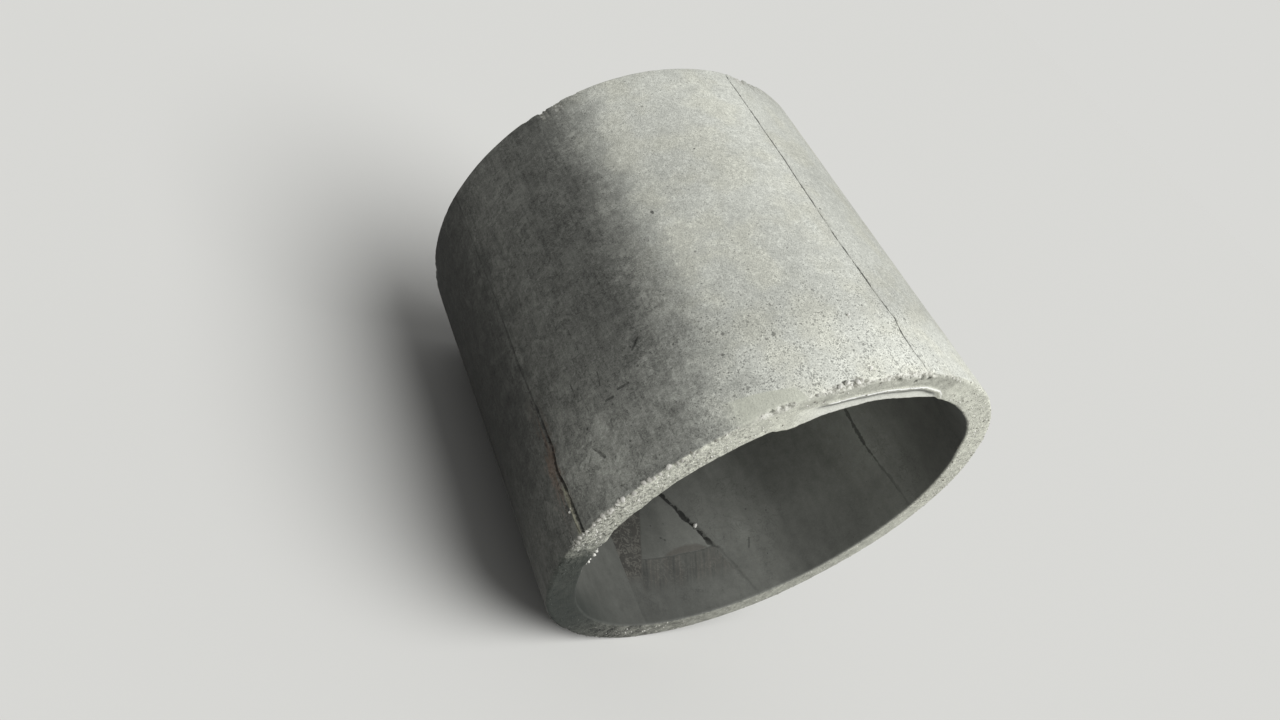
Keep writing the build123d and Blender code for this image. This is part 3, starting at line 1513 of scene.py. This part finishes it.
    def _barrel(self, ground: Ground) -> bpy.types.NodeSocket:
        """The barrel: pale on top, darker and stained down its sides; the darkening is partly
        painted shade.

        Args:
            ground: What the surfaces share.

        Returns:
            The shader.
        """
        bench, place = ground.bench, ground.place
        spot, clock, depth = place.spot, place.clock, place.depth
        cloud = bench.noise(spot, 12.0, detail=3.0)
        streak = bench.noise(bench.stretched(spot, 150.0, 12.0), 1.0, detail=3.0, roughness=0.6)
        dirt = bench.noise(spot, 26.0, detail=4.0, roughness=0.65, distortion=0.8)
        # The sides: streaked and dirty, and also given painted shade further back.
        dirty_shaded_sides = (clock.ramp(-48.0, -66.0) + clock.ramp(62.0, 95.0)).share()

        patches = cloud.ramp(0.4, 0.64) * (1.0 - dirty_shaded_sides)
        coat = Coat(bench, bench.mixed(patches, self.pale, self.warm))
        ragged = clock + (ground.mottle - 0.5) * 10.0 + (cloud - 0.5) * 16.0
        # Lightness round the barrel, partly painted shade.
        coat.scale(self.barrel_tone_and_shade.at(bench, ragged))
        past = bench.profile(clock, self.plane_edge) - depth + (cloud - 0.5) * 0.012
        plane = past.ramp(0.0, 0.004) * clock.ramp(-58.0, -53.0)
        coat.lay(plane, self.smooth)

        beside = clock + (dirt - 0.5) * 9.0 - depth * 9.0
        rust = beside.hump(-98.0, 3.2) * depth.hump(0.17, 0.17) * streak.ramp(0.4, 0.53)
        coat.lay(rust * 0.95, self.rust)
        filling = clock.hump(-95.9, 0.9) * depth.ramp(0.12, 0.09) * (ground.speck + 0.1)
        coat.lay(filling, self.mortar)

        busy = 1.0 - plane * 0.6
        clustered = ground.mottle.ramp(0.38, 0.62)
        shade = 0.96 + (ground.blotch - 0.5) * 0.35 + (ground.mottle - 0.5) * 0.5 * busy
        shade = shade + (ground.grain - 0.5) * (dirty_shaded_sides * 0.2 + 1.2) * busy
        shade = shade + (ground.speck - 0.5) * (dirty_shaded_sides * 0.5 + clustered * 0.7 + 0.5) * busy
        shade = shade + ((streak - 0.5) * 0.8 + (dirt - 0.5) * 1.4) * dirty_shaded_sides
        # Painted shade: the barrel darker towards the back end.
        shade = shade * (1.0 - depth.ramp(0.09, 0.19) * 0.22)
        # Painted shadow: the sides darker still towards the back end.
        shade = shade * (1.0 - depth.ramp(0.12, 0.34) * dirty_shaded_sides * 0.42)
        # Painted light: the top a little lighter near the front end.
        shade = shade * (depth.ramp(0.09, 0.03) * (1.0 - dirty_shaded_sides) * 0.06 + 1.0)
        coat.scale(shade)

        strand = beside.hump(-98.2, 0.5) * depth.ramp(0.36, 0.3) * ground.mottle.ramp(0.4, 0.55)
        cracks = (1.0 - abs(dirt - 0.5) * 30.0).share() * cloud.ramp(0.47, 0.57) * dirty_shaded_sides
        coat.darken((cracks * 0.75 + strand).share() * 0.8, 0.35)
        # Gouges and pits of the wall, darker with dirt and painted shade.
        coat.darken(self._scars(ground, WALL_SCARS) * 0.75, 0.25)
        washed = place.between(-57.0, -5.0, 9.0) * depth.ramp(0.38, 0.02) * 0.9
        amount = (washed + 0.3) * (clustered * 0.9 + ground.blotch * 0.9) * (1.0 - plane)
        scales = ((300.0, 0.5, 0.5), (160.0, 0.35, 0.42), (75.0, 0.12, 0.3))
        coat.darken(self._pores(ground, amount, scales) * 0.85, 0.45)
        coat.darken(self._joint_lines(ground, Zone.BARREL), 0.26)
        return self._surface(ground, coat, (ground.grain - 0.5) * 1.1)

    def _end(self, ground: Ground) -> bpy.types.NodeSocket:
        """The ends: sandy and speckled; painted shade at the wet foot, painted light and shade at
        the burr.

        Args:
            ground: What the surfaces share.

        Returns:
            The shader.
        """
        bench, place = ground.bench, ground.place
        clock = place.clock
        _, speck = bench.cells(place.spot, 330.0)
        gap, spatter = bench.cells(place.spot, 130.0)
        sandy = bench.noise(place.spot, 260.0, detail=2.0, roughness=0.7)
        broken = place.between(-118.0, -55.0, 9.0)
        rough = broken * 0.6 + place.between(6.0, 80.0, 9.0) * 0.4 + 0.25
        ragged = clock + (ground.mottle - 0.5) * 14.0
        shade = self.face.at(bench, ragged)
        shade = shade + ((speck - 0.5) * 0.3 + (spatter - 0.5) * 0.2) * rough
        shade = shade - gap.ramp(0.5, 0.85) * broken * 0.35
        shade = shade + (ground.blotch - 0.5) * 0.4 + (ground.mottle - 0.5) * 0.9
        shade = shade + (ground.grain - 0.5) * 0.9 + (ground.speck - 0.5) * (rough * 1.3 + 0.35)

        from_bore = place.radius - self.sizes.bore_radius
        edge = from_bore - bench.profile(clock, LEDGE.edge) * MM + (ground.mottle - 0.5) * 0.003
        front = place.depth.ramp(0.03, 0.02)
        within = place.between(-43.0, 0.0, 1.5) * front
        band = edge.ramp(0.0, -0.002) * within * (clock.ramp(-42.0, -34.0) * 0.7 + 0.3)
        outside = edge.ramp(0.01, 0.016) * within + edge.ramp(-0.001, 0.0) * within * 0.3
        coat = Coat(bench, self.end)
        coat.scale(shade * (1.0 + band * 0.1 - outside * 0.2))
        amount = rough * ground.mottle.ramp(0.35, 0.6) * 0.9
        scales = ((230.0, 0.35, 0.42), (120.0, 0.24, 0.34), (55.0, 0.12, 0.2))
        coat.darken(self._pores(ground, amount, scales) * 0.8, 0.4)
        coat.lay(band * (ground.speck * 0.9 + 0.1), self.burr)

        # Painted highlight along the top of the burr.
        burr_highlight = edge.ramp(0.0063, 0.0074) * edge.ramp(0.0098, 0.0087) * front
        burr_highlight = burr_highlight * place.between(-36.0, 1.0, 1.0) * (ground.mottle * 1.6 + 0.2).share()
        coat.lay(burr_highlight * (1.0 - clock.ramp(-12.0, -7.0) * 0.3), self.burr_highlight)
        # Painted shadow under the step of the ledge, where the burr shades the band.
        under = edge - clock.ramp(-16.0, -5.0) * 0.0036
        step_shadow = under.hump(-0.0085, 0.005) * 0.7 + under.hump(-0.01, 0.011) * 0.25
        step_shadow = step_shadow * place.between(-38.0, -1.5, 2.0) * front * (ground.mottle * 0.8 + 0.6)
        coat.darken(step_shadow.share(), 0.25)
        # Wet foot, darkened further as painted shade.
        coat.lay(wet_and_shaded_foot(ragged) * 0.93, self.wet_shaded_foot)
        height = (sandy - 0.5) * 2.3 * (rough + 0.2) + (ground.grain - 0.5) * 0.6
        return self._surface(ground, coat, height)

    def _bore(self, ground: Ground) -> bpy.types.NodeSocket:
        """The bore: smooth, darker partly as painted shade, with a skin of cement by the closing
        joint.

        Args:
            ground: What the surfaces share.

        Returns:
            The shader.
        """
        bench, place = ground.bench, ground.place
        clock, depth = place.clock, place.depth
        smear = bench.noise(bench.stretched(place.spot, 30.0, 9.0), 1.0, detail=3.0)
        net = bench.noise(place.spot, 52.0, detail=3.0, distortion=1.0)
        # Lightness round the bore, partly painted shade.
        level = self.inside.at(bench, clock)
        shade = 0.93 + (smear - 0.5) * 0.45 + (ground.blotch - 0.5) * 0.3
        shade = shade + (ground.mottle - 0.5) * 0.4 + (ground.grain - 0.5) * 0.4
        shade = (shade + (ground.speck - 0.5) * 0.25) * level
        coat = Coat(bench, self.bore)
        coat.scale(shade * (depth.ramp(0.07, 0.19) * 0.24 + 0.76))

        slant = depth * 51.0 + clock
        over_ridge = depth - bench.profile(clock, self.ridge_line) + (net - 0.5) * 0.008
        joint = clock - depth * (CLOSING_JOINT.turn / self.sizes.length)
        beyond = joint.ramp(CLOSING_JOINT.clock - 1.0, CLOSING_JOINT.clock - 0.4)
        inside = slant.ramp(180.4, 179.7) * beyond
        skin = inside * over_ridge.ramp(0.0, 0.002)
        band = skin * (bench.profile(clock, self.band_line) - depth).ramp(-0.001, 0.009)
        coat.scale(1.0 + skin * (slant.ramp(178.0, 168.0) * 0.24 - 0.12) - band * 0.3)
        coat.lay(band * 0.2, self.rust)

        beside = slant.ramp(179.7, 180.6) * beyond * depth.ramp(0.1, 0.15) * depth.ramp(0.4, 0.3)
        below = inside * over_ridge.ramp(-0.001, -0.004) * depth.ramp(0.07, 0.12)
        scraped = bench.noise(bench.vector(slant * 1.1, depth * 9.0, 0.5), 1.0, detail=3.0)
        stained = beside * 0.7 + below * scraped.ramp(0.42, 0.6) * 0.6
        stain = bench.shaded(self.rust, level * 0.7 + (ground.speck - 0.5) * 0.5 + 0.1)
        coat.lay(stained * (ground.mottle * 0.6 + 0.2), stain)
        coat.scale(1.0 - beside * 0.36 - below * 0.2)
        scratches = (1.0 - abs(net - 0.5) * 22.0).share() * (beside + below * 0.4)
        coat.lay(scratches * ground.blotch * 0.7, self.scratch)
        coat.scale(1.0 + below * (scraped - 0.5) * 1.8)
        ridge = over_ridge.hump(-0.001, 0.004) * inside * (ground.mottle + 0.4)

        # Dirt lines, pores and the ridge, with pits darkened as dirt and painted shade.
        dirt_and_shade = (1.0 - abs(net - 0.5) * 30.0).share() * ground.blotch.ramp(0.53, 0.6)
        dirt_and_shade = dirt_and_shade * (1.0 - skin) * 0.5 + self._scars(ground, BORE_SCARS) * 0.8
        pores = self._pores(ground, (1.0 - skin * 0.7) * 0.3, ((120.0, 0.12, 0.3),))
        dirt_and_shade = dirt_and_shade + pores * 0.7 + ridge * 0.7
        # Wet foot near the mouth, darkened further as painted shade.
        coat.lay(wet_and_shaded_foot(clock) * depth.ramp(0.11, 0.01) * 0.8, self.wet_shaded_foot)
        coat.darken(dirt_and_shade.share() * 0.8, 0.4)
        coat.darken(self._joint_lines(ground, Zone.BORE), 0.12)
        return self._surface(ground, coat, (ground.grain - 0.5) * 0.3 + skin * 0.8, 0.72)

    def _crushed(self, ground: Ground) -> bpy.types.NodeSocket:
        """Broken concrete: light crumbs and darker gaps.

        Args:
            ground: What the surfaces share.

        Returns:
            The shader.
        """
        bench, place = ground.bench, ground.place
        distance, own = bench.cells(place.spot, 210.0)
        coarse, other = bench.cells(place.spot, 95.0)
        light = (own * 0.5 + other * 0.5 - distance * 0.35).share().ramp(0.0, 0.6)
        coat = Coat(bench, bench.mixed(light, *self.crushed))
        ragged = place.clock + (ground.mottle - 0.5) * 14.0
        coat.scale(self.face.at(bench, ragged))
        # Wet foot, darkened further as painted shade.
        coat.lay(wet_and_shaded_foot(ragged) * 0.9, self.wet_shaded_foot)
        return self._surface(ground, coat, (1.0 - distance) * 1.2 + (1.0 - coarse) * 1.4)

    def _scars(self, ground: Ground, scars: Sequence[Scar]) -> Value:
        """Pits and gouges of the wall, darker as dirt and painted shade in them."""
        dirt_and_shade: Number = 0.0
        for scar in scars:
            dirt_and_shade = scar.hump(ground.bench, ground.place, self.sizes) + dirt_and_shade
        frayed = (ground.grain - 0.5) * 1.4 + (ground.mottle - 0.5) * 1.2
        return (dirt_and_shade + frayed).ramp(0.25, 0.6) * dirt_and_shade.ramp(0.0, 0.15)

    @staticmethod
    def _pores(
        ground: Ground, amount: Value, scales: Sequence[tuple[float, float, float]]
    ) -> Value:
        """Air holes in the cast faces.

        Args:
            ground: What the surfaces share.
            amount: How many there are, as a share of the most.
            scales: Cells in a metre, the most of them that hold a hole, and its size in cells.

        Returns:
            1 in the middle of a hole.
        """
        holes: Number = 0.0
        for scale, share, size in scales:
            distance, own = ground.bench.cells(ground.place.spot, scale)
            ragged = distance + (ground.grain - 0.5) * 0.3
            wide = (own / share).share() * size * 0.6 + size * 0.4
            here = (amount * share - own).ramp(-0.02, 0.02)
            holes = (ragged - wide).ramp(0.10, -0.08) * here + holes
        return holes.share()

    def _joint_lines(self, ground: Ground, zone: Zone) -> Value:
        """Dark lines of dirt down the grooves of the joints in the barrel or in the bore."""
        bench, place = ground.bench, ground.place
        fray = bench.noise(place.spot, 150.0)
        knots = bench.noise(place.spot, 46.0, detail=1.0)
        sway = place.sway(bench)
        lines: Number = 0.0
        for joint in JOINTS:
            if joint.zone is zone:
                across = joint.reach(bench, place, self.sizes, sway) + (fray - 0.5) * joint.rough
                line = (across / (knots * 1.6 - 0.3) / joint.width).ramp(1.0, 0.6)
                lines = line * joint.openness(bench, place) * (ground.mottle * 0.6 + 0.65) + lines
        return lines.share() * 0.92


@dataclass(frozen=True)
class GrainFinish(Finish):
    """Sand and small stones.

    Args:
        sizes: The ring's main sizes.
        dark: Colour of the darkest grains.
        light: Colour of the lightest grains.
        wet_shaded_foot: Colour of the grains in the wet foot, darker still as painted shade.
        edge: Distance from the bore past which the wet, shaded foot shows.
    """

    name: ClassVar[str] = "exposed_grain"
    sizes: RingSizes
    dark: Colour = tone(128, 126, 116)
    light: Colour = tone(236, 235, 228)
    wet_shaded_foot: Colour = tone(58, 63, 58)
    edge: float = 4 * MM

    def shader(self, bench: Bench) -> bpy.types.NodeSocket:
        """Each grain in its own tint, mottled, and dark at the wet foot, partly as painted shade.
        """
        spot = bench.add("ShaderNodeTexCoord").outputs["Object"]
        place = RingPlace.read(bench, spot, self.sizes)
        patch = bench.noise(spot, 700.0, detail=1.0)
        coat = Coat(bench, bench.mixed(attribute(bench, "grain_tint"), self.dark, self.light))
        coat.scale(0.8 + patch * 0.3)
        bore = self.sizes.bore_radius
        outside = place.radius.ramp(bore, bore + self.edge)
        # Wet foot, darkened further as painted shade.
        coat.lay(wet_and_shaded_foot(place.clock) * outside * 0.97, self.wet_shaded_foot)
        return bench.principled({"Base Color": coat.colour, "Roughness": 0.8})


@dataclass(frozen=True)
class FloorFinish(Finish):
    """The plain pale floor of the studio.

    Args:
        colour: Its colour.
    """

    name: ClassVar[str] = "studio_floor"
    colour: Colour = tone(205, 205, 202)

    def shader(self, bench: Bench) -> bpy.types.NodeSocket:
        """One even, dull colour."""
        look = {"Base Color": self.colour, "Roughness": 1.0, "Specular IOR Level": 0.0}
        return bench.principled(look)


@dataclass
class Studio:
    """The floor, the light and the camera.

    Args:
        eye: Where the camera is.
        heading: Degrees that it looks round from +X towards +Y.
        dip: Degrees that it looks down.
        roll: Degrees that it is turned about its own line of sight.
        lens: Focal length in millimetres.
        sensor: Width of the camera's sensor in millimetres.
        floor_side: Length of the floor's side.
        lamp_from: Direction that the lamp shines from.
        lamp_strength: Strength of the lamp.
        lamp_spread: Degrees that the lamp spans, which softens its shadows.
        sky_strength: Strength of the even light from all round.
        sky: Colour of the even light.
        backdrop: Colour that the camera sees beyond the floor.
    """

    eye: tuple[float, float, float] = (-1.595, -1.0857, 1.5087)
    heading: float = 37.08
    dip: float = 29.47
    roll: float = 44.3
    lens: float = 25.3125
    sensor: float = 36.0
    floor_side: float = 600.0
    lamp_from: tuple[float, float, float] = (0.12, -0.45, 0.88)
    lamp_strength: float = 3.1
    lamp_spread: float = 50.0
    sky_strength: float = 0.26
    sky: Colour = (1.0, 1.0, 1.0, 1.0)
    backdrop: Colour = tone(217, 217, 214)

    def build(self) -> None:
        """Sets up the floor, the light and the camera."""
        self._floor()
        self._sky()
        self._lamp()
        self._camera()

    def _floor(self) -> None:
        """The plain floor, level with the ring's lowest line."""
        half = self.floor_side / 2
        mesh = bpy.data.meshes.new("floor")
        corners = [(-half, -half, 0), (half, -half, 0), (half, half, 0), (-half, half, 0)]
        mesh.from_pydata(corners, [], [(0, 1, 2, 3)])
        mesh.materials.append(FloorFinish().material())
        placed("floor", mesh)

    def _sky(self) -> None:
        """Even light from all round, seen by the camera as a pale backdrop."""
        world = bpy.data.worlds.new("studio")
        world.use_nodes = True
        world.node_tree.nodes.clear()
        bench = Bench(world.node_tree)
        seen = bench.add("ShaderNodeLightPath").outputs["Is Camera Ray"]
        looks = ({"Color": self.sky, "Strength": self.sky_strength}, {"Color": self.backdrop})
        light, backdrop = (
            bench.add("ShaderNodeBackground", inputs=look).outputs[0] for look in looks
        )
        both = bench.blended(seen, light, backdrop)
        bench.add("ShaderNodeOutputWorld", inputs={"Surface": both})
        bpy.context.scene.world = world

    def _lamp(self) -> None:
        """One wide, even lamp high over the ring's front."""
        light = bpy.data.lights.new("overhead", "SUN")
        light.energy = self.lamp_strength
        light.angle = math.radians(self.lamp_spread)
        made = bpy.data.objects.new("overhead", light)
        made.rotation_mode = "QUATERNION"
        made.rotation_quaternion = Vector(self.lamp_from).to_track_quat("Z", "Y")
        bpy.context.scene.collection.objects.link(made)

    def _camera(self) -> None:
        """The camera, held as tilted as the photograph was taken."""
        heading, dip, roll = (math.radians(v) for v in (self.heading, self.dip, self.roll))
        ahead = Vector((math.cos(heading), math.sin(heading), 0.0)) * math.cos(dip)
        forward = ahead - Vector((0.0, 0.0, math.sin(dip)))
        level = forward.cross(Vector((0.0, 0.0, 1.0))).normalized()
        upright = level.cross(forward)
        right = level * math.cos(roll) + upright * math.sin(roll)
        up = right.cross(forward)
        data = bpy.data.cameras.new("camera")
        data.sensor_width = self.sensor
        data.lens = self.lens
        camera = bpy.data.objects.new("camera", data)
        turn = Matrix((right, up, -forward)).transposed().to_4x4()
        camera.matrix_world = Matrix.Translation(self.eye) @ turn
        bpy.context.scene.collection.objects.link(camera)
        bpy.context.scene.camera = camera


def main() -> None:
    """Builds the studio, the ring and its grains, and reports each piece."""
    bpy.context.scene.view_settings.view_transform = "Standard"
    sizes = RingSizes.from_frame()
    Studio().build()
    ring = CastRing(sizes).build(ConcreteFinish(sizes).material())
    grain = GrainFinish(sizes).material()
    grains = ExposedGrains(sizes).build(ring, grain)
    crumbs = LightCrumbs(sizes).build(grain)
    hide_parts(RING_NODE)
    for piece in (ring, grains, crumbs):
        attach(piece, "root")
        piece.data.calc_loop_triangles()
        LOG.info("%s: %d triangles", piece.name, len(piece.data.loop_triangles))


if __name__ == "__main__":
    main()
